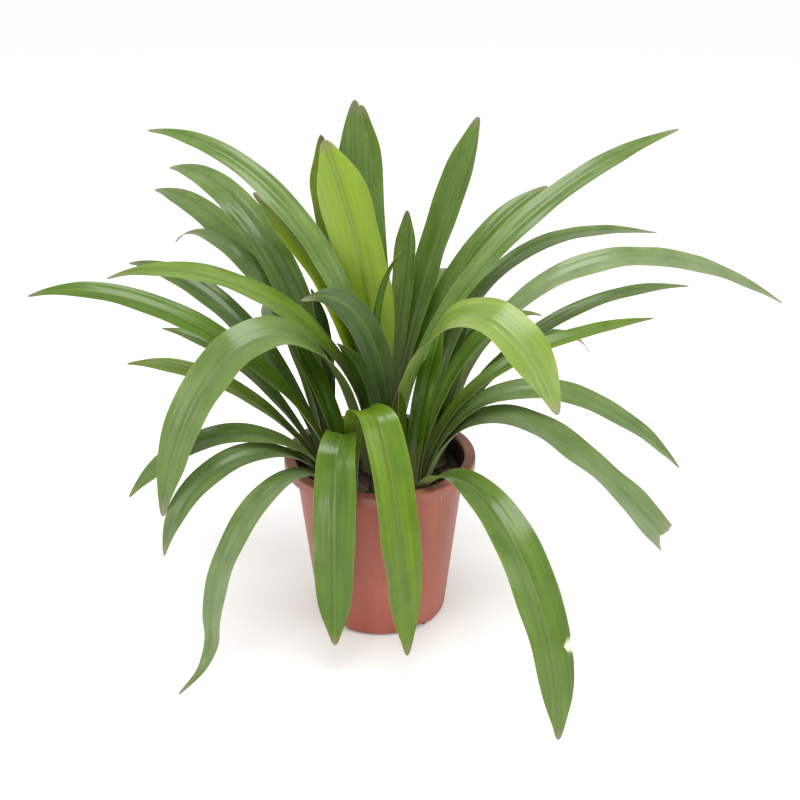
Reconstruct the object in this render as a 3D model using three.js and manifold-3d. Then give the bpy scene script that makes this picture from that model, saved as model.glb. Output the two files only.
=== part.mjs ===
import * as THREE from "three";
import { mergeVertices } from "three/addons/utils/BufferGeometryUtils.js";
import Module from "manifold-3d";

// A spider lily in a plastic nursery pot: six bulbs pressed into one pot of soil, each
// with its own rosette of strap leaves. Millimetres, +Z up, origin under the middle of
// the pot's base, -Y to the front.

// Pot: a thin moulded cup with a rolled rim and drain slots around the foot.
const potHeight = 155;
const potRimRadius = 85;
const potFootRadius = 60;
const potWall = 2;
const potFloor = 2.5;
const footRound = 3;
const rimDrop = 9;
const rimLip = 8;
const rimWall = 1.8;
const rimInnerBevel = 1;
const potSides = 48;
const roundSteps = 3;
const drainSlots = 8;
const drainSlotWidth = 11;
const drainSlotHeight = 4.5;
const drainSlotInset = 9;

// Soil fills the pot to a little under its rim.
const soilTop = 137;
const soilCrown = 1.6;
const soilShoulder = 16;
const soilSides = 40;
const gap = 0.3;

// Bulbs: one in the middle and five in a ring, sunk to the neck.
const bulbRadius = 22;
const bulbDepth = 50;
const bulbMiddleDrop = 28;
const bulbShoulderRise = 9;
const neckDrop = 7;
const neckRadius = 17.4;
const neckTop = 140.5;
const neckEdge = 0.4;
const neckCupDepth = 2.6;
const bulbRing = 45;
const bulbSides = 20;
const bulbPlaces = {
  centre: [0, 0],
  back: ring(90),
  left_back: ring(162),
  left_front: ring(234),
  right_front: ring(306),
  right_back: ring(18),
};

// Leaves: straps folded round the bulb's axis at their base and opening into a shallow
// channel. Outer leaves stand on a wider circle, so that a rosette nests without touching.
// A share of 0 is a leaf's base and 1 its tip; channel and wrap are the angle, in radians,
// that the blade's section curves through.
const leafBase = neckTop - neckCupDepth + gap;
const outerLeafRadius = 14.6;
const leafSpacing = 1.65;
const baseWidth = 19;
const baseWidthShare = 0.62;
const baseWidthPerRadius = 1.5;
const fullWidthAt = 0.5;
const taperFrom = 0.62;
const taperPower = 2;
const tipBluntness = 0.8;
const baseThickness = 1.1;
const tipThickness = 0.7;
const channelAtBase = 1.1;
const channelAtTip = 0.45;
const channelOpenBy = 0.6;
const greatestWrap = 1.7;
const wrapGoneBy = 0.35;
const twistFrom = 0.15;
const twistOver = 0.45;
const kickStart = 0.89;
const sectionParts = [0.55, 0, -0.55];
const stations = [0, 0.035, 0.09, 0.17, 0.26, 0.36, 0.47, 0.58, 0.69, 0.79, 0.88, 0.95];

// Each rosette from its outermost leaf inwards. azimuth is the way the leaf points, in
// degrees from +X; reach is how far out its tip is; tip is the tip's height above the
// floor; lean is its angle from upright at the base; pitch is the slope at the tip, down
// being negative; rise and fall are how strongly those two directions hold the curve.
// twist turns the blade about its own length; taper is where it starts to narrow; kick
// throws the very tip outwards; turn is where on the rosette's circle a leaf starts, when
// it arches over to another side.
const rosettes = {
  centre: [
    { azimuth: 212, reach: 203, tip: 152, lean: 8, rise: 230, pitch: -80, fall: 155, width: 36, twist: -28, taper: 0.68 },
    { azimuth: -38, reach: 176, tip: 242, lean: 8, rise: 225, pitch: -66, fall: 95, width: 38, twist: 25, taper: 0.72 },
    { azimuth: 226, turn: 36, reach: 48, tip: 272, lean: 3, rise: 85, pitch: 40, fall: 30, width: 18 },
    { azimuth: 180, reach: 225, tip: 316, lean: -3, rise: 142, pitch: -20, fall: 92, width: 29, twist: -14 },
    { azimuth: 150, reach: 125, tip: 373, lean: -4, rise: 130, pitch: 30, fall: 70, width: 31, twist: -20, taper: 0.7 },
    { azimuth: 155, reach: 222, tip: 420, lean: -4, rise: 178, pitch: -4, fall: 112, width: 22, twist: -35 },
    { azimuth: 27, reach: 304, tip: 413, lean: 9, rise: 150, pitch: 10, fall: 150, width: 21, twist: 30 },
    { azimuth: 212, turn: 110, reach: 72, tip: 310, lean: 10, rise: 120, pitch: -12, fall: 50, width: 28, twist: -15 },
    { azimuth: 30, turn: 120, reach: 22, tip: 336, lean: 3, rise: 110, pitch: 40, fall: 45, width: 17 },
  ],
  back: [
    { azimuth: 72, reach: 215, tip: 200, lean: 32, rise: 170, pitch: -70, fall: 110, width: 33 },
    { azimuth: 100, reach: 240, tip: 235, lean: 28, rise: 170, pitch: -55, fall: 110, width: 32 },
    { azimuth: 30, reach: 178, tip: 362, lean: 12, rise: 110, pitch: 15, fall: 80, width: 24, twist: 30 },
    { azimuth: 45, reach: 125, tip: 425, lean: 8, rise: 110, pitch: 62, fall: 90, width: 34, taper: 0.76 },
    { azimuth: 142, reach: 64, tip: 418, lean: 7, rise: 110, pitch: 95, fall: 90, width: 34, taper: 0.78 },
    { azimuth: 58, reach: 46, tip: 352, lean: 9, rise: 80, pitch: 90, fall: 60, width: 22, taper: 0.78 },
    { azimuth: 102, reach: 80, tip: 437, lean: 5, rise: 120, pitch: 80, fall: 90, width: 31, taper: 0.8 },
    { azimuth: 132, reach: 30, tip: 450, lean: 5, rise: 130, pitch: 100, fall: 80, width: 34, taper: 0.8 },
    { azimuth: 180, turn: 105, reach: 45, tip: 421, lean: 6, rise: 120, pitch: 70, fall: 80, width: 43, taper: 0.76 },
  ],
  left_back: [
    { azimuth: 180, reach: 177, tip: 234, lean: 33, rise: 80, pitch: -5, fall: 60, width: 20, twist: -20 },
    { azimuth: 172, reach: 150, tip: 259, lean: 28, rise: 80, pitch: 5, fall: 60, width: 18, twist: -20 },
    { azimuth: 112, reach: 205, tip: 190, lean: 27, rise: 140, pitch: -65, fall: 90, width: 33 },
    { azimuth: 158, reach: 200, tip: 302, lean: 18, rise: 110, pitch: -8, fall: 70, width: 26, twist: -20 },
    { azimuth: 131, reach: 286, tip: 336, lean: 1, rise: 145, pitch: -8, fall: 110, width: 27, twist: -30 },
    { azimuth: 150, reach: 166, tip: 319, lean: 3, rise: 150, pitch: -50, fall: 60, width: 24, twist: -8 },
    { azimuth: 138, reach: 208, tip: 375, lean: -2, rise: 135, pitch: -10, fall: 110, width: 30, twist: -30 },
    { azimuth: 145, reach: 19, tip: 299, lean: 1, rise: 80, pitch: 65, fall: 50, width: 18 },
  ],
  left_front: [
    { azimuth: -135, reach: 151, tip: 24, lean: 26, rise: 92, pitch: -97, fall: 125, width: 27, kick: 36 },
    { azimuth: -150, reach: 167, tip: 123, lean: 26, rise: 95, pitch: -78, fall: 85, width: 24, twist: -20 },
    { azimuth: -160, reach: 184, tip: 165, lean: 24, rise: 88, pitch: -50, fall: 85, width: 23, twist: -20 },
    { azimuth: -97, reach: 82, tip: 34, lean: 2, rise: 112, pitch: -88, fall: 200, width: 35 },
    { azimuth: -60, reach: 101, tip: 28, lean: 1, rise: 156, pitch: -87, fall: 228, width: 36 },
    { azimuth: -178, reach: 250, tip: 316, lean: 12, rise: 125, pitch: -18, fall: 85, width: 24, twist: -25 },
    { azimuth: 150, reach: 50, tip: 268, lean: 3, rise: 70, pitch: 60, fall: 50, width: 24 },
    { azimuth: 30, reach: 14, tip: 204, lean: 2, rise: 36, pitch: 80, fall: 25, width: 17 },
  ],
  right_front: [
    { azimuth: -57, reach: 207, tip: 15, lean: 30, rise: 108, pitch: -88, fall: 150, width: 36, twist: 12 },
    { azimuth: -7, reach: 222, tip: 100, lean: 14, rise: 148, pitch: -50, fall: 110, width: 36, twist: 14, taper: 0.76 },
    { azimuth: 5, reach: 238, tip: 147, lean: 13, rise: 146, pitch: -50, fall: 110, width: 26, twist: 25 },
    { azimuth: 20, reach: 229, tip: 266, lean: 8, rise: 116, pitch: 0, fall: 85, width: 16, twist: 20 },
    { azimuth: 10, reach: 110, tip: 290, lean: 4, rise: 100, pitch: -20, fall: 50, width: 16, twist: 20 },
    { azimuth: 56, reach: 48, tip: 275, lean: 1, rise: 69, pitch: 62, fall: 40, width: 20 },
    { azimuth: 160, reach: 10, tip: 230, lean: 0, rise: 45, pitch: 85, fall: 30, width: 19 },
  ],
  right_back: [
    { azimuth: 64, reach: 200, tip: 180, lean: 30, rise: 140, pitch: -68, fall: 90, width: 33 },
    { azimuth: 30, reach: 180, tip: 209, lean: 20, rise: 100, pitch: -60, fall: 60, width: 18, twist: 20 },
    { azimuth: 18, reach: 253, tip: 279, lean: 14, rise: 94, pitch: -8, fall: 120, width: 16, twist: 20 },
    { azimuth: 10, reach: 326, tip: 270, lean: 10, rise: 199, pitch: -32, fall: 175, width: 26, twist: 25 },
    { azimuth: 36, reach: 117, tip: 270, lean: 4, rise: 95, pitch: -10, fall: 50, width: 14, twist: 20 },
    { azimuth: 60, reach: 80, tip: 300, lean: 2, rise: 100, pitch: 60, fall: 50, width: 30 },
    { azimuth: 38, reach: 293, tip: 301, lean: 0, rise: 221, pitch: -14, fall: 120, width: 16, twist: 25 },
  ],
};

const wasm = await Module();
wasm.setup();

const potPlastic = new THREE.MeshStandardMaterial({ color: 0xa2604f, roughness: 0.55, metalness: 0 });
const pottingSoil = new THREE.MeshStandardMaterial({ color: 0x2c2019, roughness: 0.95, metalness: 0 });
const bulbTunic = new THREE.MeshStandardMaterial({ color: 0x8c7b52, roughness: 0.8, metalness: 0 });
const leafGreen = new THREE.MeshStandardMaterial({ color: 0x6b8a36, roughness: 0.4, metalness: 0 });

function degrees(angle) {
  return THREE.MathUtils.degToRad(angle);
}

function ring(angle) {
  return [bulbRing * Math.cos(degrees(angle)), bulbRing * Math.sin(degrees(angle))];
}

// A turned solid about +Z from an outline of [radius, height] points.
function turned(outline, segments) {
  const points = outline.map(([radius, height]) => new THREE.Vector2(radius, height));
  const geometry = new THREE.LatheGeometry(points, segments);
  return geometry.rotateX(Math.PI / 2);
}

function toSolid(geometry) {
  const bare = geometry.clone();
  bare.deleteAttribute("normal");
  bare.deleteAttribute("uv");
  const merged = mergeVertices(bare, 1e-4);
  const vertProperties = Float32Array.from(merged.getAttribute("position").array);
  const triVerts = Uint32Array.from(merged.getIndex().array);
  return new wasm.Manifold(new wasm.Mesh({ numProp: 3, vertProperties, triVerts }));
}

function toGeometry(solid) {
  const mesh = solid.getMesh();
  const geometry = new THREE.BufferGeometry();
  geometry.setAttribute("position", new THREE.BufferAttribute(mesh.vertProperties, 3));
  geometry.setIndex(new THREE.BufferAttribute(mesh.triVerts, 1));
  return geometry;
}

function cut(geometry, tools) {
  let solid = toSolid(geometry);
  for (const tool of tools) {
    solid = solid.subtract(toSolid(tool));
  }
  return toGeometry(solid);
}

function arc(centreRadius, centreHeight, radius, from, to, steps) {
  const points = [];
  for (let i = 0; i <= steps; i += 1) {
    const angle = degrees(from + ((to - from) * i) / steps);
    points.push([centreRadius + radius * Math.cos(angle), centreHeight + radius * Math.sin(angle)]);
  }
  return points;
}

// The wall's outer radius at a height, from the foot to where the rim turns out.
const wallTopRadius = potRimRadius - rimLip;
function wallRadius(height) {
  return potFootRadius + ((wallTopRadius - potFootRadius) * height) / potHeight;
}

function potGeometry() {
  const rimUnder = potHeight - rimWall;
  const outline = [
    [0, 0],
    ...arc(potFootRadius - footRound, footRound, footRound, -90, 0, roundSteps),
    [wallRadius(rimUnder), rimUnder],
    [potRimRadius - rimWall, rimUnder],
    [potRimRadius - rimWall, potHeight - rimDrop],
    [potRimRadius, potHeight - rimDrop],
    ...arc(potRimRadius - rimWall, potHeight - rimWall, rimWall, 0, 90, roundSteps),
    [wallRadius(potHeight) - potWall + rimInnerBevel, potHeight],
    [wallRadius(potHeight) - potWall, potHeight - rimInnerBevel],
    [wallRadius(potFloor) - potWall, potFloor],
    [0, potFloor],
  ];
  const slots = [];
  for (let i = 0; i < drainSlots; i += 1) {
    const slot = new THREE.BoxGeometry(2 * drainSlotInset, drainSlotWidth, 2 * drainSlotHeight);
    slot.translate(potFootRadius, 0, 0);
    slot.rotateZ((2 * Math.PI * (i + 0.5)) / drainSlots);
    slots.push(slot);
  }
  return cut(turned(outline, potSides), slots);
}

// The bulb's outline from its base plate to its neck, grown all over by a clearance.
function bulbOutline(grow) {
  const middle = neckTop - bulbMiddleDrop;
  const bottom = neckTop - bulbDepth - grow;
  const belly = bulbRadius + grow;
  return [
    [0, bottom],
    [belly * 0.5, bottom + 1.5],
    [belly * 0.87, bottom + 9],
    [belly, middle],
    [belly * 0.97, middle + bulbShoulderRise],
    [neckRadius + grow, neckTop - neckDrop],
  ];
}

function bulbGeometry() {
  const cupFloor = neckTop - neckCupDepth;
  const outline = [
    ...bulbOutline(0),
    [neckRadius + neckEdge, neckTop],
    [neckRadius - neckEdge, neckTop],
    [outerLeafRadius + baseThickness / 2 + gap, cupFloor],
    [0, cupFloor],
  ];
  return turned(outline, bulbSides);
}

function bulbPocket() {
  const mouth = neckRadius + neckEdge + gap;
  const above = neckTop + 1;
  return turned([...bulbOutline(gap), [mouth, neckTop], [mouth, above], [0, above]], bulbSides);
}

function soilGeometry() {
  const wallGap = potWall + gap;
  const outline = [
    [0, potFloor + gap],
    [wallRadius(potFloor) - wallGap, potFloor + gap],
    [wallRadius(soilTop) - wallGap, soilTop - soilCrown],
    [wallRadius(soilTop) - soilShoulder, soilTop],
    [0, soilTop + soilCrown],
  ];
  const pockets = Object.values(bulbPlaces).map(([x, y]) => bulbPocket().translate(x, y, 0));
  return cut(turned(outline, soilSides), pockets);
}

function smooth(value) {
  const t = Math.min(Math.max(value, 0), 1);
  return t * t * (3 - 2 * t);
}

function direction(azimuth) {
  return new THREE.Vector3(Math.cos(degrees(azimuth)), Math.sin(degrees(azimuth)), 0);
}

// The leaf's spine: one cubic curve from the neck of the bulb to the tip.
function leafSpine(leaf, place, radius) {
  const up = new THREE.Vector3(0, 0, 1);
  const foot = new THREE.Vector3(place[0], place[1], 0);
  const rootWay = direction(leaf.azimuth + (leaf.turn ?? 0));
  const root = foot.clone().addScaledVector(rootWay, radius).setZ(leafBase);
  const lean = degrees(leaf.lean);
  const pitch = degrees(leaf.pitch);
  const tipWay = direction(leaf.azimuth);
  const tip = foot.clone().addScaledVector(tipWay, leaf.reach).setZ(leaf.tip);
  const leave = root.clone().addScaledVector(rootWay, leaf.rise * Math.sin(lean));
  leave.addScaledVector(up, leaf.rise * Math.cos(lean));
  const arrive = tip.clone().addScaledVector(tipWay, -leaf.fall * Math.cos(pitch));
  arrive.addScaledVector(up, -leaf.fall * Math.sin(pitch));
  return new THREE.CubicBezierCurve3(root, leave, arrive, tip);
}

// Narrow at the base, full from the middle and rounded in to a blunt point at the tip.
function leafWidth(leaf, share, radius) {
  const base = Math.min(baseWidth, leaf.width * baseWidthShare, radius * baseWidthPerRadius);
  const grown = base + (leaf.width - base) * smooth(share / fullWidthAt);
  const from = leaf.taper ?? taperFrom;
  const taper = Math.max(0, (share - from) / (1 - from));
  return grown * (1 - taper ** taperPower) ** tipBluntness;
}

function kickAt(leaf, share) {
  return (leaf.kick ?? 0) * Math.max(0, (share - kickStart) / (1 - kickStart)) ** 2;
}

// A closed strip: at each station an eight-sided section, curved round the bulb's axis
// near the base, then a last point at the tip. A section runs from one edge over the
// upper face to the other edge, and back under the lower face.
function leafGeometry(leaf, place, radius) {
  const spine = leafSpine(leaf, place, radius);
  const tipWay = direction(leaf.azimuth);
  const acrossWay = direction(leaf.azimuth + (leaf.turn ?? 0) + 90);
  const positions = [];
  const centre = new THREE.Vector3();
  for (const share of stations) {
    spine.getPointAt(share, centre).addScaledVector(tipWay, kickAt(leaf, share));
    const along = spine.getTangentAt(share);
    const side = acrossWay.clone().addScaledVector(along, -acrossWay.dot(along)).normalize();
    side.applyAxisAngle(along, degrees(leaf.twist ?? 0) * smooth((share - twistFrom) / twistOver));
    const upper = along.clone().cross(side);
    const width = leafWidth(leaf, share, radius);
    const fromAxis = Math.hypot(centre.x - place[0], centre.y - place[1]);
    const channel = channelAtBase + (channelAtTip - channelAtBase) * smooth(share / channelOpenBy);
    const folded = Math.min(greatestWrap, width / Math.max(fromAxis, 1)) * (1 - smooth(share / wrapGoneBy));
    const wrap = Math.max(channel, folded);
    const bendRadius = width / wrap;
    const half = (baseThickness + (tipThickness - baseThickness) * share) / 2;
    const addPoint = (part, lift) => {
      const angle = (wrap * part) / 2;
      const across = (bendRadius - lift) * Math.sin(angle);
      const rise = bendRadius - (bendRadius - lift) * Math.cos(angle);
      const point = centre.clone().addScaledVector(side, across).addScaledVector(upper, rise);
      positions.push(point.x, point.y, point.z);
    };
    addPoint(1, 0);
    sectionParts.forEach((part) => addPoint(part, half));
    addPoint(-1, 0);
    sectionParts.forEach((part) => addPoint(-part, -half));
  }
  const tip = spine.getPointAt(1).addScaledVector(tipWay, kickAt(leaf, 1));
  positions.push(tip.x, tip.y, tip.z);

  const sides = 2 * sectionParts.length + 2;
  const baseFaces = [[0, 7, 1], [1, 7, 6], [1, 6, 2], [2, 6, 5], [2, 5, 3], [3, 5, 4]];
  const faces = [...baseFaces];
  for (let i = 0; i < stations.length; i += 1) {
    for (let k = 0; k < sides; k += 1) {
      const a = i * sides + k;
      const b = i * sides + ((k + 1) % sides);
      if (i === stations.length - 1) {
        faces.push([a, b, stations.length * sides]);
      } else {
        faces.push([a, b, b + sides], [a, b + sides, a + sides]);
      }
    }
  }
  const geometry = new THREE.BufferGeometry();
  geometry.setAttribute("position", new THREE.Float32BufferAttribute(positions, 3));
  geometry.setIndex(faces.flat());
  return geometry;
}

const plant = new THREE.Group();

function add(name, geometry, material) {
  const mesh = new THREE.Mesh(geometry, material);
  mesh.name = name;
  plant.add(mesh);
}

add("pot", potGeometry(), potPlastic);
add("soil", soilGeometry(), pottingSoil);
for (const [name, place] of Object.entries(bulbPlaces)) {
  add(`bulb_${name}`, bulbGeometry().translate(place[0], place[1], 0), bulbTunic);
  rosettes[name].forEach((leaf, i) => {
    const radius = outerLeafRadius - leafSpacing * i;
    add(`leaf_${name}_${i + 1}`, leafGeometry(leaf, place, radius), leafGreen);
  });
}

export default plant;
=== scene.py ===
import math
import random

import bmesh
import bpy
import numpy as np
from mathutils import Matrix, Vector, noise


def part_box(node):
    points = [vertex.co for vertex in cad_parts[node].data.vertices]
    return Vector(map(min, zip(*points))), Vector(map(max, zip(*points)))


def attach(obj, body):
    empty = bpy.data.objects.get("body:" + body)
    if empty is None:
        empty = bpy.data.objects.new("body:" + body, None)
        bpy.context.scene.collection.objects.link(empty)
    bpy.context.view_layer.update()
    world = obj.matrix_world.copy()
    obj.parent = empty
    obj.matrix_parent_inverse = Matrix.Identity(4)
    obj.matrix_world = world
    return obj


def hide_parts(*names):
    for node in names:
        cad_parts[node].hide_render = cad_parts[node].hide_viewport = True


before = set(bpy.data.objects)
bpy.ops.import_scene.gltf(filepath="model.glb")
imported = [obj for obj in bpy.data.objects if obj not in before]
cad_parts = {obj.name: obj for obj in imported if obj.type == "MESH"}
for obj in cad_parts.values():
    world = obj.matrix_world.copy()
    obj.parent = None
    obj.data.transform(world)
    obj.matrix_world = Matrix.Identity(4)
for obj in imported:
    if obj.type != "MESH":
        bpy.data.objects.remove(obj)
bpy.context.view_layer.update()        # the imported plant, metres, +Z up, origin under the pot


print("frame loaded")


def linearColour(hexColour):
    # sRGB hex to the linear colour that shaders take
    parts = [int(hexColour[i:i + 2], 16) / 255 for i in (1, 3, 5)]
    return [part / 12.92 if part <= 0.04045 else ((part + 0.055) / 1.055) ** 2.4 for part in parts] + [1.0]


def addNode(material, kind, inputs, stops=(), **settings):
    # inputs: socket name or number to a value or another node's output; stops: a ramp's colours
    node = material.node_tree.nodes.new(kind)
    for name, value in settings.items():
        setattr(node, name, value)
    for place, (position, hexColour) in enumerate(stops):
        elements = node.color_ramp.elements
        element = elements[place] if place < 2 else elements.new(position)
        element.position = position
        element.color = linearColour(hexColour)
    for socket, value in inputs.items():
        if isinstance(value, bpy.types.NodeSocket):
            material.node_tree.links.new(value, node.inputs[socket])
        else:
            node.inputs[socket].default_value = value
    return node


def newMaterial(name):
    material = bpy.data.materials.new(name)
    material.use_nodes = True
    material.node_tree.nodes.clear()
    return material


def closeMaterial(material, shader):
    addNode(material, "ShaderNodeOutputMaterial", {"Surface": shader.outputs[0]})
    return material


def deselectAll():
    if bpy.context.object and bpy.context.object.mode != "OBJECT":
        bpy.ops.object.mode_set(mode="OBJECT")
    bpy.ops.object.select_all(action="DESELECT")


def makeActive(piece):
    deselectAll()
    piece.select_set(True)
    bpy.context.view_layer.objects.active = piece


def applyModifier(piece, kind, **settings):
    makeActive(piece)
    modifier = piece.modifiers.new(kind.lower(), kind)
    for name, value in settings.items():
        setattr(modifier, name, value)
    bpy.ops.object.modifier_apply(modifier=modifier.name)


def finishPiece(piece, nodes):
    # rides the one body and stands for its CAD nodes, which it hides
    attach(piece, "root")
    if nodes:
        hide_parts(*nodes)


def spinOutline(name, outline, steps):
    # a point drawn along the outline, then spun once round the upright axis
    deselectAll()
    bpy.ops.mesh.primitive_plane_add(size=0.002, location=(outline[0][0], 0, outline[0][1]))
    piece = bpy.context.object
    piece.name = name
    bpy.ops.object.transform_apply(location=True)
    bpy.ops.object.mode_set(mode="EDIT")
    bpy.ops.mesh.merge(type="CENTER")
    for start, end in zip(outline, outline[1:]):
        move = (end[0] - start[0], 0, end[1] - start[1])
        bpy.ops.mesh.extrude_region_move(TRANSFORM_OT_translate={"value": move})
    bpy.ops.mesh.select_all(action="SELECT")
    bpy.ops.mesh.spin(steps=steps, angle=2 * math.pi, center=(0, 0, 0), axis=(0, 0, 1))
    bpy.ops.mesh.select_all(action="SELECT")
    bpy.ops.mesh.remove_doubles(threshold=1e-5)
    bpy.ops.mesh.normals_make_consistent(inside=False)
    bpy.ops.object.mode_set(mode="OBJECT")
    return piece


def readMesh(mesh):
    places = np.zeros(len(mesh.vertices) * 3)
    mesh.vertices.foreach_get("co", places)
    return places.reshape(-1, 3)


def writeMesh(mesh, places):
    mesh.vertices.foreach_set("co", np.ascontiguousarray(places, dtype=np.float32).ravel())
    mesh.update()


def addAttribute(mesh, name, columns):
    # a vector on each vertex, for the materials to read
    attribute = mesh.attributes.new(name, "FLOAT_VECTOR", "POINT")
    attribute.data.foreach_set("vector", np.stack(columns, axis=1).astype(np.float32).ravel())


# Camera, floor and light
studio = {
    "cameraPlace": (0.0178, -0.860, 0.594),
    "cameraTurn": 65.7,              # degrees up from looking straight down
    "lens": 48.8,
    "floorSize": 40,
    "floorColour": "#fbfbfa",
    "floorGlow": 0.16,
    "worldColour": "#ffffff",
    "worldStrength": 0.86,
    "panels": [                      # place, size in metres, watts
        ((0.1, -0.3, 1.8), 0.9, 19),
        ((-1.3, -1.0, 0.8), 0.6, 4),
        ((1.4, -0.7, 1.0), 0.7, 4),
        ((-0.10, -1.3, 0.14), 0.30, 2.2),
    ],
    "aim": (0, 0, 0.22),
}


def makeStudio():
    deselectAll()
    turn = math.radians(studio["cameraTurn"])
    bpy.ops.object.camera_add(location=studio["cameraPlace"], rotation=(turn, 0, 0))
    camera = bpy.context.object
    camera.data.lens = studio["lens"]
    bpy.context.scene.camera = camera
    for place, size, power in studio["panels"]:
        away = Vector(place) - Vector(studio["aim"])
        bpy.ops.object.light_add(type="AREA", location=place, rotation=away.to_track_quat("Z", "Y").to_euler())
        bpy.context.object.data.size = size
        bpy.context.object.data.energy = power
    world = bpy.data.worlds.new("white studio")
    world.use_nodes = True
    background = world.node_tree.nodes["Background"]
    background.inputs["Color"].default_value = linearColour(studio["worldColour"])
    background.inputs["Strength"].default_value = studio["worldStrength"]
    bpy.context.scene.world = world
    bpy.context.scene.view_settings.view_transform = "Standard"
    deselectAll()
    bpy.ops.mesh.primitive_plane_add(size=studio["floorSize"])
    floor = bpy.context.object
    floor.name = "floor"
    paper = newMaterial("studio paper, matte")
    shade = linearColour(studio["floorColour"])
    shader = addNode(paper, "ShaderNodeBsdfPrincipled", {
        "Base Color": shade, "Roughness": 0.9, "Emission Color": shade, "Emission Strength": studio["floorGlow"],
    })
    floor.data.materials.append(closeMaterial(paper, shader))


makeStudio()
print("studio ready")


# Pot: moulded polypropylene with a turned-down rim and drain slots round its foot
pot = {
    "wall": 0.002,
    "floor": 0.0025,
    "footRadius": 0.060,
    "footRound": 0.0042,
    "rimLip": 0.008,                 # how far the rim stands out from the wall
    "rimDrop": 0.009,
    "rimWall": 0.0018,
    "rimRound": 0.0016,
    "stepDrop": 0.016,               # a faint moulded step below the rim
    "stepDepth": 0.0006,
    "steps": 128,
    "slots": 5,
    "firstSlot": -53,                # degrees round from the right-hand side
    "slotSize": (0.018, 0.011, 0.009),
    "bevel": 0.0004,
}
potFoot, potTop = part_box("pot")
potHeight = potTop.z
rimRadius = potTop.x


def arcPoints(centreRadius, centreHeight, radius, start, end, count):
    points = []
    for i in range(count + 1):
        angle = math.radians(start + (end - start) * i / count)
        points.append((centreRadius + radius * math.cos(angle), centreHeight + radius * math.sin(angle)))
    return points


def wallRadius(height):
    # the wall's outer radius, which widens evenly to the rim
    top = rimRadius - pot["rimLip"]
    return pot["footRadius"] + (top - pot["footRadius"]) * height / potHeight


def potMaterial():
    # polypropylene, injection moulded: satin, with faint flow marks, scuffs and dust
    material = newMaterial("polypropylene, moulded terracotta")
    spot = addNode(material, "ShaderNodeTexCoord", {}).outputs["Object"]
    stretch = addNode(material, "ShaderNodeMapping", {"Vector": spot, "Scale": (1, 1, 0.12)}).outputs[0]
    flow = addNode(material, "ShaderNodeTexNoise", {"Vector": stretch, "Scale": 55, "Detail": 3})
    cloud = addNode(material, "ShaderNodeTexNoise", {"Vector": spot, "Scale": 16, "Detail": 4})
    grain = addNode(material, "ShaderNodeTexNoise", {"Vector": spot, "Scale": 900, "Detail": 2})
    blend = addNode(material, "ShaderNodeMix", {"Factor": 0.5, "A": flow.outputs[0], "B": cloud.outputs[0]})
    colour = addNode(material, "ShaderNodeValToRGB", {"Fac": blend.outputs[0]},
                     stops=[(0.34, "#8a4331"), (0.66, "#a35744"), (0.5, "#964c3a")])
    height = addNode(material, "ShaderNodeSeparateXYZ", {"Vector": spot}).outputs["Z"]
    rimPart = addNode(material, "ShaderNodeMapRange", {"Value": height, "From Min": potHeight - 0.012,
                                                       "From Max": potHeight, "To Max": 0.34})
    dustSpots = addNode(material, "ShaderNodeMath", {0: rimPart.outputs[0], 1: cloud.outputs[0]},
                        operation="MULTIPLY")
    dusty = addNode(material, "ShaderNodeMix", {"Factor": dustSpots.outputs[0], "A": colour.outputs[0],
                                                "B": linearColour("#a08a80")}, data_type="RGBA")
    fromAxis = addNode(material, "ShaderNodeVectorMath", {0: spot, 1: (1, 1, 0)}, operation="MULTIPLY")
    radius = addNode(material, "ShaderNodeVectorMath", {0: fromAxis.outputs[0]}, operation="LENGTH")
    taper = (wallRadius(potHeight) - pot["footRadius"]) / potHeight
    narrowing = addNode(material, "ShaderNodeMath", {0: height, 1: -taper, 2: radius.outputs["Value"]},
                        operation="MULTIPLY_ADD")
    # painted shade: the inner wall, from just under the lip down, is mixed towards a dark brown
    innerPart = addNode(material, "ShaderNodeMapRange", {"Value": narrowing.outputs[0],
                                                         "From Min": pot["footRadius"] - pot["wall"] / 2,
                                                         "From Max": pot["footRadius"] - pot["wall"] * 0.8})
    below = addNode(material, "ShaderNodeMapRange", {"Value": height, "From Min": potHeight - 0.001,
                                                     "From Max": potHeight - 0.006})
    innerWallShade = addNode(material, "ShaderNodeMath", {0: innerPart.outputs[0], 1: below.outputs[0]},
                    operation="MULTIPLY")
    innerWallShaded = addNode(material, "ShaderNodeMix", {"Factor": innerWallShade.outputs[0], "A": dusty.outputs["Result"],
                                                  "B": linearColour("#3b241b")}, data_type="RGBA")
    rough = addNode(material, "ShaderNodeMapRange", {"Value": cloud.outputs[0], "To Min": 0.36, "To Max": 0.50})
    bump = addNode(material, "ShaderNodeBump", {"Height": grain.outputs[0], "Strength": 0.12, "Distance": 0.0003})
    shader = addNode(material, "ShaderNodeBsdfPrincipled", {
        "Base Color": innerWallShaded.outputs["Result"], "Roughness": rough.outputs[0], "IOR": 1.49,
        "Normal": bump.outputs[0],
    })
    return closeMaterial(material, shader)


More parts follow.
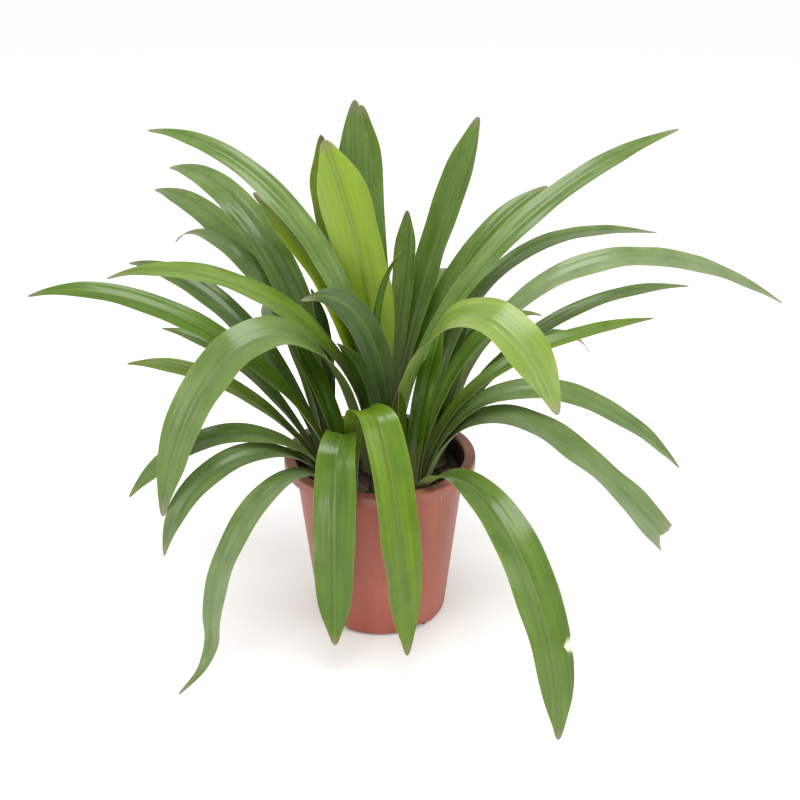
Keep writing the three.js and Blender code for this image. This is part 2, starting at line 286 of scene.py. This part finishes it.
def makePot():
    lipTop = potHeight
    lipUnder = potHeight - pot["rimWall"]
    lipInner = rimRadius - pot["rimWall"]
    stepHeight = potHeight - pot["stepDrop"]
    skirtFoot = potHeight - pot["rimDrop"]
    inside = pot["wall"]
    outline = [(0, 0.0)]
    outline += arcPoints(pot["footRadius"] - pot["footRound"], pot["footRound"], pot["footRound"], -90, 0, 5)
    outline += [
        (wallRadius(stepHeight) - pot["stepDepth"], stepHeight),
        (wallRadius(stepHeight), stepHeight + pot["stepDepth"]),
        (wallRadius(lipUnder), lipUnder),
        (lipInner, lipUnder),
        (lipInner, skirtFoot),
        (rimRadius, skirtFoot),
    ]
    outline += arcPoints(rimRadius - pot["rimRound"], lipTop - pot["rimRound"], pot["rimRound"], 0, 90, 4)
    outline += [
        (wallRadius(lipTop) - inside + 0.001, lipTop),
        (wallRadius(lipTop) - inside, lipTop - 0.001),
        (wallRadius(pot["floor"]) - inside, pot["floor"]),
        (0, pot["floor"]),
    ]
    piece = spinOutline("nursery_pot", outline, pot["steps"])
    deselectAll()
    cutters = []
    for i in range(pot["slots"]):
        angle = math.radians(pot["firstSlot"]) + 2 * math.pi * i / pot["slots"]
        place = (pot["footRadius"] * math.cos(angle), pot["footRadius"] * math.sin(angle), 0)
        bpy.ops.mesh.primitive_cube_add(size=1, location=place, rotation=(0, 0, angle))
        bpy.context.object.scale = pot["slotSize"]
        cutters.append(bpy.context.object)
    for cutter in cutters:
        cutter.select_set(True)
    bpy.ops.object.join()
    cutter = bpy.context.object
    bpy.ops.object.transform_apply(location=True, rotation=True, scale=True)
    applyModifier(piece, "BOOLEAN", operation="DIFFERENCE", solver="EXACT", object=cutter)
    bpy.data.objects.remove(cutter)
    applyModifier(piece, "BEVEL", width=pot["bevel"], segments=2, limit_method="ANGLE",
                  angle_limit=math.radians(40))
    makeActive(piece)
    bpy.ops.object.shade_smooth_by_angle(angle=math.radians(35))
    piece.data.materials.append(potMaterial())
    finishPiece(piece, ["pot"])


makePot()
print("pot made")


# Soil: a crumbly peat surface a little under the rim
soil = {
    "rings": 34,
    "steps": 150,
    "crown": 0.0014,
    "lump": 0.0016,                  # height of the larger lumps
    "grit": 0.0007,
    "crumbs": 420,
    "crumbSize": (0.0007, 0.0021),
    "fibres": 46,
    "fibreRadius": 0.00022,
    "fibreReach": 0.0725,            # how far from the middle a loose fibre may lie
}
soilFoot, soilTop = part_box("soil")
soilLevel = soilTop.z - soil["crown"]
bulbNodes = sorted(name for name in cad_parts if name.startswith("bulb_"))


def bulbCentre(node):
    low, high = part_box(node)
    return (low + high) / 2


def soilHeight(x, y):
    lump = noise.fractal(Vector((x, y, 0.3)) * 90, 1.0, 2.0, 3)
    grit = noise.noise(Vector((x, y, 1.7)) * 420)
    return soil["lump"] * lump * 0.5 + soil["grit"] * grit


def soilMaterial():
    # potting peat: dark and matt, with painted shade darkening the hollows of its bump
    material = newMaterial("potting peat, damp")
    spot = addNode(material, "ShaderNodeTexCoord", {}).outputs["Object"]
    clump = addNode(material, "ShaderNodeTexNoise", {"Vector": spot, "Scale": 160, "Detail": 6})
    speck = addNode(material, "ShaderNodeTexVoronoi", {"Vector": spot, "Scale": 700})
    # painted shade: the clump noise that raises the bump also darkens the colour where it sinks
    colour = addNode(material, "ShaderNodeValToRGB", {"Fac": clump.outputs[0]},
                     stops=[(0.3, "#17110c"), (0.75, "#4b392a"), (0.5, "#2b2018")])
    pale = addNode(material, "ShaderNodeMapRange", {"Value": speck.outputs["Distance"], "From Min": 0.10,
                                                    "From Max": 0.05, "To Max": 0.5})
    mixed = addNode(material, "ShaderNodeMix", {"Factor": pale.outputs[0], "A": colour.outputs[0],
                                                "B": linearColour("#6d5842")}, data_type="RGBA")
    bump = addNode(material, "ShaderNodeBump", {"Height": clump.outputs[0], "Strength": 0.6, "Distance": 0.001})
    shader = addNode(material, "ShaderNodeBsdfPrincipled", {
        "Base Color": mixed.outputs["Result"], "Roughness": 0.93, "Normal": bump.outputs[0],
    })
    return closeMaterial(material, shader)


def fibreMaterial():
    # dry root and peat fibre: pale straw, matt
    material = newMaterial("root fibre, dry")
    spot = addNode(material, "ShaderNodeTexCoord", {}).outputs["Object"]
    streak = addNode(material, "ShaderNodeTexNoise", {"Vector": spot, "Scale": 240, "Detail": 2})
    colour = addNode(material, "ShaderNodeValToRGB", {"Fac": streak.outputs[0]},
                     stops=[(0.35, "#8f7f58"), (0.7, "#d3c9a2")])
    shader = addNode(material, "ShaderNodeBsdfPrincipled", {"Base Color": colour.outputs[0], "Roughness": 0.8})
    return closeMaterial(material, shader)


def joinPieces(pieces, name):
    deselectAll()
    for piece in pieces:
        piece.select_set(True)
    bpy.context.view_layer.objects.active = pieces[0]
    bpy.ops.object.join()
    bpy.context.object.name = name
    return bpy.context.object


def makeSoil():
    bottom = soilFoot.z
    edge = soilTop.x
    footEdge = wallRadius(bottom) - pot["wall"] - 0.0003
    outline = [(0, bottom), (footEdge, bottom), (edge, soilLevel - 0.003)]
    for i in range(soil["rings"]):
        part = 1 - i / (soil["rings"] - 1)
        outline.append((edge * part * 0.995, soilLevel + soil["crown"] * (1 - part * part) - 0.0016))
    piece = spinOutline("potting_soil", outline, soil["steps"])
    for vertex in piece.data.vertices:
        if vertex.co.z > soilLevel - 0.0025:
            vertex.co.z += soilHeight(vertex.co.x, vertex.co.y)
    makeActive(piece)
    bpy.ops.object.shade_smooth()
    peat = soilMaterial()
    piece.data.materials.append(peat)
    finishPiece(piece, ["soil"])

    draw = random.Random(12)
    deselectAll()
    bpy.ops.mesh.primitive_ico_sphere_add(subdivisions=2, radius=1)
    model = bpy.context.object
    for vertex in model.data.vertices:
        vertex.co *= 1 + 0.45 * noise.noise(vertex.co * 1.7)
    crumbs = []
    reach = edge - 0.003
    for i in range(soil["crumbs"]):
        angle = draw.uniform(0, 2 * math.pi)
        out = reach * math.sqrt(draw.random())
        x, y = out * math.cos(angle), out * math.sin(angle)
        size = draw.uniform(*soil["crumbSize"])
        turn = Matrix.Rotation(draw.uniform(0, 6), 4, Vector((draw.random(), draw.random(), 1)).normalized())
        squash = Matrix.Diagonal((size, size * draw.uniform(0.6, 1), size * draw.uniform(0.5, 0.9), 1))
        level = soilLevel + soil["crown"] * (1 - (out / edge) ** 2) - 0.0012
        crumb = model.copy()
        crumb.data = model.data.copy()
        crumb.data.transform(Matrix.Translation((x, y, level + soilHeight(x, y))) @ turn @ squash)
        bpy.context.scene.collection.objects.link(crumb)
        crumbs.append(crumb)
    bpy.data.objects.remove(model)
    crumbPiece = joinPieces(crumbs, "soil_crumbs")
    crumbPiece.data.materials.append(peat)
    finishPiece(crumbPiece, [])


def makeFibres():
    # thin dry roots lying in loose loops on the soil, one bent over the rim
    draw = random.Random(7)
    straw = fibreMaterial()
    fibres = []
    for i in range(soil["fibres"]):
        angle = math.radians(draw.choice([225, 262, 318, 345, 140, 60]) + draw.uniform(-16, 16))
        out = draw.uniform(0.054, 0.070)
        spot = Vector((out * math.cos(angle), out * math.sin(angle), soilLevel + 0.0008))
        heading = draw.uniform(0, 2 * math.pi)
        points = []
        rise = draw.choice([0.0, 0.0015, 0.004])
        for step in range(7):
            lift = rise * math.sin(math.pi * step / 6)
            points.append(spot + Vector((0, 0, lift)))
            heading += draw.uniform(-0.9, 0.9)
            spot = spot + Vector((math.cos(heading), math.sin(heading), 0)) * draw.uniform(0.0018, 0.0035)
            flat = math.hypot(spot.x, spot.y)
            if flat > soil["fibreReach"]:
                spot.x *= soil["fibreReach"] / flat
                spot.y *= soil["fibreReach"] / flat
        fibres.append(points)
    overRim = math.radians(304)
    way = Vector((math.cos(overRim), math.sin(overRim), 0))
    aside = Vector((-way.y, way.x, 0))
    fibres.append([
        way * 0.066 + Vector((0, 0, soilLevel + 0.001)),
        way * 0.0735 + aside * 0.001 + Vector((0, 0, potHeight - 0.007)),
        way * 0.0765 + aside * 0.003 + Vector((0, 0, potHeight + 0.0012)),
        way * 0.083 + aside * 0.004 + Vector((0, 0, potHeight + 0.0008)),
        way * 0.0858 + aside * 0.006 + Vector((0, 0, potHeight - 0.006)),
        way * 0.0858 + aside * 0.005 + Vector((0, 0, potHeight - 0.013)),
    ])
    pieces = []
    for points in fibres:
        deselectAll()
        bpy.ops.curve.primitive_nurbs_path_add()
        path = bpy.context.object
        path.data.splines.clear()
        spline = path.data.splines.new("NURBS")
        spline.points.add(len(points) - 1)
        for target, place in zip(spline.points, points):
            target.co = (*place, 1)
        spline.use_endpoint_u = True
        spline.order_u = 4
        spline.resolution_u = 3
        path.data.bevel_depth = soil["fibreRadius"]
        path.data.bevel_resolution = 0
        path.data.use_fill_caps = True
        makeActive(path)
        bpy.ops.object.convert(target="MESH")
        pieces.append(bpy.context.object)
    piece = joinPieces(pieces, "root_fibres")
    bpy.ops.object.transform_apply(location=True, rotation=True, scale=True)
    piece.data.materials.append(straw)
    finishPiece(piece, [])


makeSoil()
makeFibres()
print("soil made")


# Bulbs: sunk to the neck, in dry papery skins with a ragged collar
bulb = {
    "belly": 0.0215,
    "neck": 0.0168,
    "collarWave": 0.0010,
    "cupDepth": 0.0026,
    "foldDepth": 0.007,
    "steps": 64,
}


def bulbMaterial():
    # dry bulb tunic: papery, brown to straw, with fibres running up the neck; its colours are painted darker than
    # that, as painted shade among the leaf bases
    material = newMaterial("bulb tunic, papery, darkened as painted shade")
    spot = addNode(material, "ShaderNodeTexCoord", {}).outputs["Object"]
    upright = addNode(material, "ShaderNodeMapping", {"Vector": spot, "Scale": (1, 1, 0.1)}).outputs[0]
    fibre = addNode(material, "ShaderNodeTexNoise", {"Vector": upright, "Scale": 600, "Detail": 3})
    # painted shade: these browns are darker than the tunic's own, standing for the shade the bulbs sit in
    colour = addNode(material, "ShaderNodeValToRGB", {"Fac": fibre.outputs[0]},
                     stops=[(0.3, "#2c2416"), (0.7, "#655b3c"), (0.5, "#463c25")])
    bump = addNode(material, "ShaderNodeBump", {"Height": fibre.outputs[0], "Strength": 0.5, "Distance": 0.0004})
    shader = addNode(material, "ShaderNodeBsdfPrincipled", {
        "Base Color": colour.outputs[0], "Roughness": 0.7, "Normal": bump.outputs[0],
    })
    return closeMaterial(material, shader)


def makeBulb(node, skin):
    low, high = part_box(node)
    centre = bulbCentre(node)
    height = high.z - low.z
    cup = high.z - bulb["cupDepth"]
    outline = [
        (0, low.z),
        (bulb["belly"] * 0.5, low.z + 0.0015),
        (bulb["belly"] * 0.87, low.z + height * 0.18),
        (bulb["belly"], low.z + height * 0.42),
        (bulb["belly"] * 0.97, low.z + height * 0.62),
        (bulb["neck"] + 0.0012, high.z - 0.007),
        (bulb["neck"], high.z - 0.0035),
        (bulb["neck"] + 0.0002, high.z - 0.0004),
        (bulb["neck"] - 0.0005, high.z - 0.0004),
        (bulb["neck"] - 0.0012, cup),
        (0, cup),
    ]
    piece = spinOutline(node + "_tunic", outline, bulb["steps"])
    for vertex in piece.data.vertices:
        angle = math.atan2(vertex.co.y, vertex.co.x)
        fold = math.sin(9 * angle + centre.x * 300) + 0.6 * math.sin(17 * angle + centre.y * 500)
        if math.hypot(vertex.co.x, vertex.co.y) > bulb["neck"] * 0.9:
            vertex.co.x *= 1 + bulb["foldDepth"] * fold
            vertex.co.y *= 1 + bulb["foldDepth"] * fold
            if vertex.co.z > high.z - 0.002:
                vertex.co.z -= bulb["collarWave"] * (0.5 + 0.3 * fold)
    piece.data.transform(Matrix.Translation((centre.x, centre.y, 0)))
    makeActive(piece)
    bpy.ops.object.shade_smooth_by_angle(angle=math.radians(40))
    piece.data.materials.append(skin)
    finishPiece(piece, [node])


bulbSkin = bulbMaterial()
for bulbNode in bulbNodes:
    makeBulb(bulbNode, bulbSkin)
print("bulbs made")


# Leaves: strap blades with a sunk midrib, fine parallel veins and slightly waved edges
blade = {
    "across": 24,
    "along": 96,
    "thickness": 0.00085,
    "edgeShare": 0.35,               # thickness left at the edges
    "ribDepth": 0.0010,
    "ribHalfWidth": 0.0021,
    "pleat": 0.00012,
    "pleatSpacing": 0.0052,
    "wave": 0.0007,
    "waveLength": 0.095,
    "widthDrift": 0.012,
    "driftLength": 0.05,
    "leastWidth": 0.0004,
    "tipDensity": 1.35,              # above 1 packs the sections closer towards the tip
    "tipFullness": 0.13,             # how much wider than its solid a leaf is before the tip
    "fullestAt": 0.87,
    "fullnessReach": 0.09,
}

# tone and shade: 0 deep green to 1 yellow-green, partly each leaf's own colour and partly painted light and
# shade: the darkest values paint the shade of leaves deep in the clump, values above 1 paint light onto leaves
# lying in shade; dust: a grey bloom on the upper face
bladeToneAndShade = {
    "centre": [(0.42, 0.25), (0.80, 0.30), (0.05, 0.0), (0.62, 0.1), (0.95, 0.0), (0.50, 0.2),
               (0.48, 0.2), (0.06, 0.1), (0.40, 0.0)],
    "back": [(0.40, 0.1), (0.40, 0.1), (0.55, 0.1), (0.42, 0.1), (1.15, 0.0), (0.58, 0.3),
             (0.42, 0.1), (0.46, 0.1), (1.02, 0.0)],
    "left_back": [(0.72, 0.1), (0.50, 0.2), (0.40, 0.1), (0.30, 0.2), (0.45, 0.2), (0.35, 0.3),
                  (0.42, 0.3), (0.10, 0.1)],
    "left_front": [(0.40, 0.4), (0.36, 0.3), (0.42, 0.2), (0.46, 0.0), (0.62, 0.0), (0.44, 0.0),
                   (0.15, 0.0), (0.20, 0.0)],
    "right_front": [(0.45, 0.1), (0.42, 0.4), (0.44, 0.3), (0.62, 0.1), (0.45, 0.1), (0.35, 0.0),
                    (0.30, 0.0)],
    "right_back": [(0.40, 0.1), (0.45, 0.2), (0.48, 0.3), (0.46, 0.6), (0.40, 0.1), (0.12, 0.0),
                   (0.44, 0.3)],
}

# damage to single leaves, as shares of the leaf's length; part runs from -1 to 1 across it
bladeMarks = {
    "leaf_right_front_2": {
        "tornAt": 0.985, "tearSlope": 0.015, "biteDeep": 0.017, "bitePart": -0.15, "biteReach": 0.45,
        "fray": 0.0012, "scarReach": 0.012, "holdFrom": 0.66, "flare": 0.24,
    },
    "leaf_right_front_1": {"nickAt": 0.755, "nickReach": 0.011, "nickDeep": 0.24, "nickSide": 1},
}


def smoothTable(places, values, spots):
    # a smooth curve through the values, read at the spots
    slopes = np.gradient(values, places, axis=0)
    index = np.clip(np.searchsorted(places, spots, side="right") - 1, 0, len(places) - 2)
    step = (places[index + 1] - places[index])[:, None]
    part = (spots - places[index])[:, None] / step
    first = (1 + 2 * part) * (1 - part) ** 2 * values[index]
    second = part * (1 - part) ** 2 * step * slopes[index]
    third = part * part * (3 - 2 * part) * values[index + 1]
    fourth = part * part * (part - 1) * step * slopes[index + 1]
    return first + second + third + fourth


def unit(vectors):
    return vectors / np.linalg.norm(vectors, axis=1)[:, None]


def bladeRings(node):
    # the CAD blade's sections, from its base to its tip, then the tip itself
    solid = bmesh.new()
    solid.from_mesh(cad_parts[node].data)
    bmesh.ops.remove_doubles(solid, verts=solid.verts, dist=1e-6)
    tip = max(solid.verts, key=lambda vertex: len(vertex.link_edges))
    rings = [[tip]]
    seen = {tip}
    while True:
        ring = []
        for vertex in rings[-1]:
            for edge in vertex.link_edges:
                other = edge.other_vert(vertex)
                if other not in seen:
                    seen.add(other)
                    ring.append(other)
        if not ring:
            break
        rings.append(ring)
    places = [[np.array(vertex.co) for vertex in ring] for ring in reversed(rings)]
    solid.free()
    return places[:-1], places[-1][0]


def bladeTable(node):
    # centre, side way, width and wrap of each section
    rings, tip = bladeRings(node)
    centres, chords, sags = [], [], []
    for ring in rings:
        pairs = [(np.linalg.norm(a - b), i, j) for i, a in enumerate(ring) for j, b in enumerate(ring) if i < j]
        width, first, second = max(pairs)
        chord = ring[first] - ring[second]
        across = chord / width
        middle = (ring[first] + ring[second]) / 2
        nearest = sorted(ring, key=lambda place: abs(np.dot(place - middle, across)))[:2]
        centre = (nearest[0] + nearest[1]) / 2
        centres.append(centre)
        chords.append(chord)
        sags.append(middle - centre)
    spine = np.array(centres + [tip])
    steps = np.linalg.norm(np.diff(spine, axis=0), axis=1)
    travelled = np.concatenate([[0], np.cumsum(steps)])
    alongs = unit(np.gradient(spine, travelled, axis=0))[:-1]
    sides, widths, wraps = [], [], []
    for chord, sag, along in zip(chords, sags, alongs):
        upper = sag - along * np.dot(sag, along)
        side = chord / np.linalg.norm(chord)
        if np.dot(np.cross(upper, along), side) < 0:
            side = -side
        length = np.linalg.norm(chord)
        wrap = 4 * math.atan(2 * np.linalg.norm(sag) / length)
        sides.append(side)
        widths.append(length * wrap / (2 * math.sin(wrap / 2)))
        wraps.append(wrap)
    widths = np.array(widths + [blade["leastWidth"]])
    return spine, np.array(sides + sides[-1:]), widths, np.array(wraps + wraps[-1:]), travelled


def layBlade(node, mesh, draw):
    # lays the flat blank along the leaf, with its channel, midrib, pleats and waves
    spine, sides, widths, wraps, travelled = bladeTable(node)
    length = travelled[-1]
    marks = bladeMarks.get(node, {})
    blank = readMesh(mesh)
    part = -2 * blank[:, 0]
    lengthwise = 1 - (1 - (blank[:, 1] + 0.5)) ** blade["tipDensity"]
    limit = np.ones_like(part)
    scar = np.zeros_like(part)
    if "tornAt" in marks:
        bite = -marks["biteDeep"] * np.exp(-((part - marks["bitePart"]) / marks["biteReach"]) ** 2)
        ragged = bite + marks["tearSlope"] * part + marks["fray"] * np.sin(13 * part)
        lengthwise = lengthwise * (marks["tornAt"] + ragged)
        scar = np.exp(-((blank[:, 1] - 0.5) / marks["scarReach"]) ** 2) * 0.6
    spots = lengthwise * length
    centre = smoothTable(travelled, spine, spots)
    along = unit(smoothTable(travelled, np.gradient(spine, travelled, axis=0), spots))
    side = smoothTable(travelled, sides, spots)
    side = unit(side - along * np.sum(side * along, axis=1)[:, None])
    upper = np.cross(along, side)
    # widths are blended as squares, so that tips round off
    squares = smoothTable(travelled, widths[:, None] ** 2, spots)[:, 0]
    width = np.sqrt(np.maximum(squares, blade["leastWidth"] ** 2))
    wrap = smoothTable(travelled, wraps[:, None], spots)[:, 0]
    if "tornAt" in marks:
        held = np.interp(marks["holdFrom"] * length, travelled, widths)
        width = np.where(lengthwise > marks["holdFrom"], held, width)
        late = np.clip((lengthwise - marks["holdFrom"]) / (1 - marks["holdFrom"]), 0, 1)
        width = width * (1 + marks["flare"] * late)
    if "nickAt" in marks:
        near = np.exp(-((lengthwise - marks["nickAt"]) / marks["nickReach"]) ** 2)
        facing = np.clip(part * marks["nickSide"], 0, 1)
        limit = 1 - marks["nickDeep"] * near * (facing > 0)
        scar = np.clip(1.5 * near, 0, 1) * (facing > 0.8)
    phase = [draw.uniform(0, 2 * math.pi) for i in range(5)]
    drift = np.sin(spots / blade["driftLength"] + phase[0]) * np.minimum(1, lengthwise * 3)
    width = width * (1 + blade["widthDrift"] * drift)
    nearFullest = np.exp(-((lengthwise - blade["fullestAt"]) / blade["fullnessReach"]) ** 2)
    width = width * (1 + blade["tipFullness"] * nearFullest)
    bendRadius = width / wrap
    free = np.clip((lengthwise - 0.12) / 0.25, 0, 1) * np.clip((1 - lengthwise) / 0.12, 0, 1)
    fullness = np.clip(width / 0.030, 0.3, 1.2)
    swing = 2 * math.pi / blade["waveLength"]
    rightWave = np.sin(swing * spots + phase[1]) + 0.5 * np.sin(2.3 * swing * spots + phase[2])
    leftWave = np.sin(1.13 * swing * spots + phase[3]) + 0.5 * np.sin(1.9 * swing * spots + phase[4])
    wave = np.where(part > 0, rightWave, leftWave) * np.abs(part) ** 2 * blade["wave"] * free * fullness
    crosswise = part * limit * width / 2
    rib = -blade["ribDepth"] * np.exp(-(crosswise / blade["ribHalfWidth"]) ** 2) * np.clip(width / 0.012, 0, 1)
    pleat = blade["pleat"] * np.cos(2 * math.pi * crosswise / blade["pleatSpacing"]) * (1 - np.abs(part) ** 4)
    lift = rib * np.clip((1 - lengthwise) / 0.1, 0, 1) + pleat * free + wave
    angle = wrap * part * limit / 2
    outward = (bendRadius - lift) * np.sin(angle)
    rise = bendRadius - (bendRadius - lift) * np.cos(angle)
    places = centre + side * outward[:, None] + upper * rise[:, None]
    writeMesh(mesh, places)
    thick = 1 - (1 - blade["edgeShare"]) * np.abs(part) ** 3
    return crosswise, spots, part, lengthwise, scar, thick


def bladeMaterial(name, deep, middle, bright, roughness):
    # living leaf: waxy cuticle, parallel veins 1 mm apart, a sunk groove along the middle darkened with painted
    # shade
    material = newMaterial(name)
    spot = addNode(material, "ShaderNodeAttribute", {}, attribute_name="bladeSpot").outputs["Vector"]
    shareNode = addNode(material, "ShaderNodeAttribute", {}, attribute_name="bladeShare")
    share = addNode(material, "ShaderNodeSeparateXYZ", {"Vector": shareNode.outputs["Vector"]})
    toneAndShadeNode = addNode(material, "ShaderNodeAttribute", {}, attribute_name="leafToneAndShade")
    toneAndShade = addNode(material, "ShaderNodeSeparateXYZ", {"Vector": toneAndShadeNode.outputs["Vector"]})
    metres = addNode(material, "ShaderNodeSeparateXYZ", {"Vector": spot})

    veinSpot = addNode(material, "ShaderNodeMapping", {"Vector": spot, "Scale": (1000, 9, 1)}).outputs[0]
    veins = addNode(material, "ShaderNodeTexNoise", {"Vector": veinSpot, "Scale": 1, "Detail": 2})
    bandSpot = addNode(material, "ShaderNodeMapping", {"Vector": spot, "Scale": (170, 5, 1)}).outputs[0]
    bands = addNode(material, "ShaderNodeTexNoise", {"Vector": bandSpot, "Scale": 1, "Detail": 1})
    mottleSpot = addNode(material, "ShaderNodeMapping", {"Vector": spot, "Scale": (60, 32, 1)}).outputs[0]
    mottle = addNode(material, "ShaderNodeTexNoise", {"Vector": mottleSpot, "Scale": 1, "Detail": 4})

    bandShift = addNode(material, "ShaderNodeMapRange", {"Value": bands.outputs[0], "From Min": 0.3,
                                                         "From Max": 0.7, "To Min": -0.10, "To Max": 0.10})
    mottleShift = addNode(material, "ShaderNodeMapRange", {"Value": mottle.outputs[0], "From Min": 0.3,
                                                           "From Max": 0.7, "To Min": -0.07, "To Max": 0.07})
    shift = addNode(material, "ShaderNodeMath", {0: bandShift.outputs[0], 1: mottleShift.outputs[0]})
    # painted light and shade: the per-leaf tone and shade value shifts the ramp between deep and bright green
    shadedToneSum = addNode(material, "ShaderNodeMath", {0: shift.outputs[0], 1: toneAndShade.outputs["X"]}, use_clamp=True)
    ground = addNode(material, "ShaderNodeValToRGB", {"Fac": shadedToneSum.outputs[0]},
                     stops=[(0.0, deep), (1.0, bright), (0.5, middle)])

    veinShade = addNode(material, "ShaderNodeMapRange", {"Value": veins.outputs[0], "From Min": 0.35,
                                                         "From Max": 0.65, "To Min": 0.90, "To Max": 1.07})
    veined = addNode(material, "ShaderNodeMix", {"Factor": 1.0, "A": ground.outputs[0],
                                                 "B": veinShade.outputs[0]},
                     data_type="RGBA", blend_type="MULTIPLY")
    fromRib = addNode(material, "ShaderNodeMath", {0: metres.outputs["X"]}, operation="ABSOLUTE").outputs[0]
    # painted shade: the band round the sunk midrib is mixed towards the deep green
    grooveShade = addNode(material, "ShaderNodeMapRange", {"Value": fromRib, "From Min": 0.0052, "From Max": 0.0010,
                                                     "To Max": 0.26}, interpolation_type="SMOOTHSTEP")
    grooveShaded = addNode(material, "ShaderNodeMix", {"Factor": grooveShade.outputs[0], "A": veined.outputs["Result"],
                                                  "B": linearColour(deep)}, data_type="RGBA")
    ribLine = addNode(material, "ShaderNodeMapRange", {"Value": fromRib, "From Min": 0.0012, "From Max": 0.0003,
                                                       "To Max": 0.13}, interpolation_type="SMOOTHSTEP")
    ribbed = addNode(material, "ShaderNodeMix", {"Factor": ribLine.outputs[0], "A": grooveShaded.outputs["Result"],
                                                 "B": linearColour("#9bb054")}, data_type="RGBA")
    fromMiddle = addNode(material, "ShaderNodeMath", {0: share.outputs["X"]}, operation="ABSOLUTE").outputs[0]
    edge = addNode(material, "ShaderNodeMapRange", {"Value": fromMiddle, "From Min": 0.965, "From Max": 1.0,
                                                    "To Max": 0.34})
    edged = addNode(material, "ShaderNodeMix", {"Factor": edge.outputs[0], "A": ribbed.outputs["Result"],
                                                "B": linearColour("#a89a5c")}, data_type="RGBA")
    tipPart = addNode(material, "ShaderNodeMapRange", {"Value": share.outputs["Y"], "From Min": 0.955,
                                                       "From Max": 1.0, "To Max": 0.75})
    tipped = addNode(material, "ShaderNodeMix", {"Factor": tipPart.outputs[0], "A": edged.outputs["Result"],
                                                 "B": linearColour("#80705c")}, data_type="RGBA")
    basePart = addNode(material, "ShaderNodeMapRange", {"Value": metres.outputs["Y"], "From Min": 0.045,
                                                        "From Max": 0.0, "To Max": 0.6})
    based = addNode(material, "ShaderNodeMix", {"Factor": basePart.outputs[0], "A": tipped.outputs["Result"],
                                                "B": linearColour("#b4bb84")}, data_type="RGBA")
    bloom = addNode(material, "ShaderNodeMath", {0: toneAndShade.outputs["Y"], 1: mottle.outputs[0]},
                    operation="MULTIPLY")
    dusty = addNode(material, "ShaderNodeMix", {"Factor": bloom.outputs[0], "A": based.outputs["Result"],
                                                "B": linearColour("#a3ad8c")}, data_type="RGBA")
    scarred = addNode(material, "ShaderNodeMix", {"Factor": share.outputs["Z"], "A": dusty.outputs["Result"],
                                                  "B": linearColour("#dfe0b8")}, data_type="RGBA")
    rough = addNode(material, "ShaderNodeMapRange", {"Value": mottle.outputs[0], "From Min": 0.3,
                                                     "From Max": 0.7, "To Min": roughness - 0.05,
                                                     "To Max": roughness + 0.07})
    bump = addNode(material, "ShaderNodeBump", {"Height": veins.outputs[0], "Strength": 0.35,
                                                "Distance": 0.0002})
    shader = addNode(material, "ShaderNodeBsdfPrincipled", {
        "Base Color": scarred.outputs["Result"], "Roughness": rough.outputs[0], "IOR": 1.42,
        "Subsurface Weight": 0.06, "Subsurface Radius": (0.0008, 0.0014, 0.0002), "Subsurface Scale": 1.0,
        "Normal": bump.outputs[0],
    })
    return closeMaterial(material, shader)


def makeBlade(node, toneAndShade, dust, skins, seed):
    draw = random.Random(seed)
    deselectAll()
    bpy.ops.mesh.primitive_grid_add(x_subdivisions=blade["across"], y_subdivisions=blade["along"], size=1)
    piece = bpy.context.object
    piece.name = node + "_blade"
    mesh = piece.data
    crosswise, spots, part, lengthwise, scar, thick = layBlade(node, mesh, draw)
    offset = np.full_like(part, draw.uniform(0, 40))
    addAttribute(mesh, "bladeSpot", [crosswise, spots, offset])
    addAttribute(mesh, "bladeShare", [part, lengthwise, scar])
    addAttribute(mesh, "leafToneAndShade", [np.full_like(part, toneAndShade), np.full_like(part, dust), offset])
    group = piece.vertex_groups.new(name="thick")
    for index, weight in enumerate(thick):
        group.add([index], float(weight), "REPLACE")
    for skin in skins:
        mesh.materials.append(skin)
    applyModifier(piece, "SOLIDIFY", thickness=blade["thickness"], offset=0, vertex_group="thick",
                  thickness_vertex_group=0, use_rim=True, material_offset=1)
    makeActive(piece)
    bpy.ops.object.shade_smooth_by_angle(angle=math.radians(60))
    finishPiece(piece, [node])


bladeSkins = [
    bladeMaterial("strap leaf, upper face", "#274109", "#4f6d0f", "#7f981b", 0.27),
    bladeMaterial("strap leaf, under face", "#2e4610", "#526d16", "#7b9423", 0.38),
]
bladeSeed = 100
for rosette, tones in bladeToneAndShade.items():
    for place, (leafToneAndShade, bladeDust) in enumerate(tones):
        bladeSeed += 1
        makeBlade(f"leaf_{rosette}_{place + 1}", leafToneAndShade, bladeDust, bladeSkins, bladeSeed)
print("leaves made")
